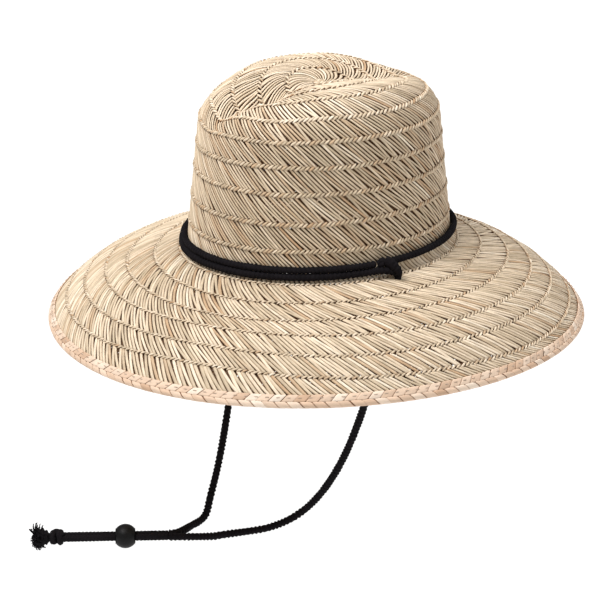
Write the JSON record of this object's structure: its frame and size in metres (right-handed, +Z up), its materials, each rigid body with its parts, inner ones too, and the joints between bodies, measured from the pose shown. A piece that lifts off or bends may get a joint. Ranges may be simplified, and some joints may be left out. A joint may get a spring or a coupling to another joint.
{
  "type": "straw sun hat",
  "caption": "Woven straw sun hat with a creased crown, wide drooping brim, plaited edge binding, sweatband, and a chin cord with sliding bead and tassel.",
  "frame": {"origin": "centre of the head opening, on the plane where the crown meets the brim", "axes": "+Z up through the crown; -Y the wearer's front; +X the wearer's left"},
  "size_m": [0.3902, 0.4464, 0.364],
  "materials": {
    "straw": "dry natural rush straw, matt with a faint sheen",
    "palm_plait": "plaited palm leaf, matt",
    "thread": "sewing thread, matt",
    "band_cloth": "woven cotton tape, matt",
    "cord": "braided cotton cord, matt",
    "bead": "matt moulded bead"
  },
  "bodies": {
    "hat": {"crown": "straw", "brim": "straw", "rim_binding": "palm_plait", "binding_stitches": "thread", "sweatband": "band_cloth", "sweatband_stitches": "thread", "crown_cord": "cord", "side_knot": "cord", "side_knot_tail": "cord", "chin_cord_crown_run": "cord"},
    "chin_cord": {"chin_cord_left": "cord", "chin_cord_right": "cord"},
    "cord_tail": {"tail_cord_left": "cord", "tail_cord_right": "cord", "end_knot": "cord"},
    "tassel": {"tassel": "cord"},
    "bead": {"slider_bead": "bead"}
  },
  "joints": [
    {"name": "chin_cord_swing", "type": "hinge", "parent": "hat", "child": "chin_cord", "pos_m": [0, 0.009, -0.017], "axis": [1, 0, 0], "range_deg": [-30, 50]},
    {"name": "tail_bend", "type": "hinge", "parent": "chin_cord", "child": "cord_tail", "pos_m": [-0.0047, -0.1357, -0.2296], "axis": [0.8845, -0.4665, 0], "range_deg": [-55, 55]},
    {"name": "tassel_bend", "type": "hinge", "parent": "cord_tail", "child": "tassel", "pos_m": [-0.04687, -0.21566, -0.2296], "axis": [0.8845, -0.4665, 0], "range_deg": [-60, 60]},
    {"name": "bead_slide", "type": "slide", "parent": "cord_tail", "child": "bead", "axis": [-0.4665, -0.8845, 0], "range_m": [-0.019, 0.039]}
  ]
}
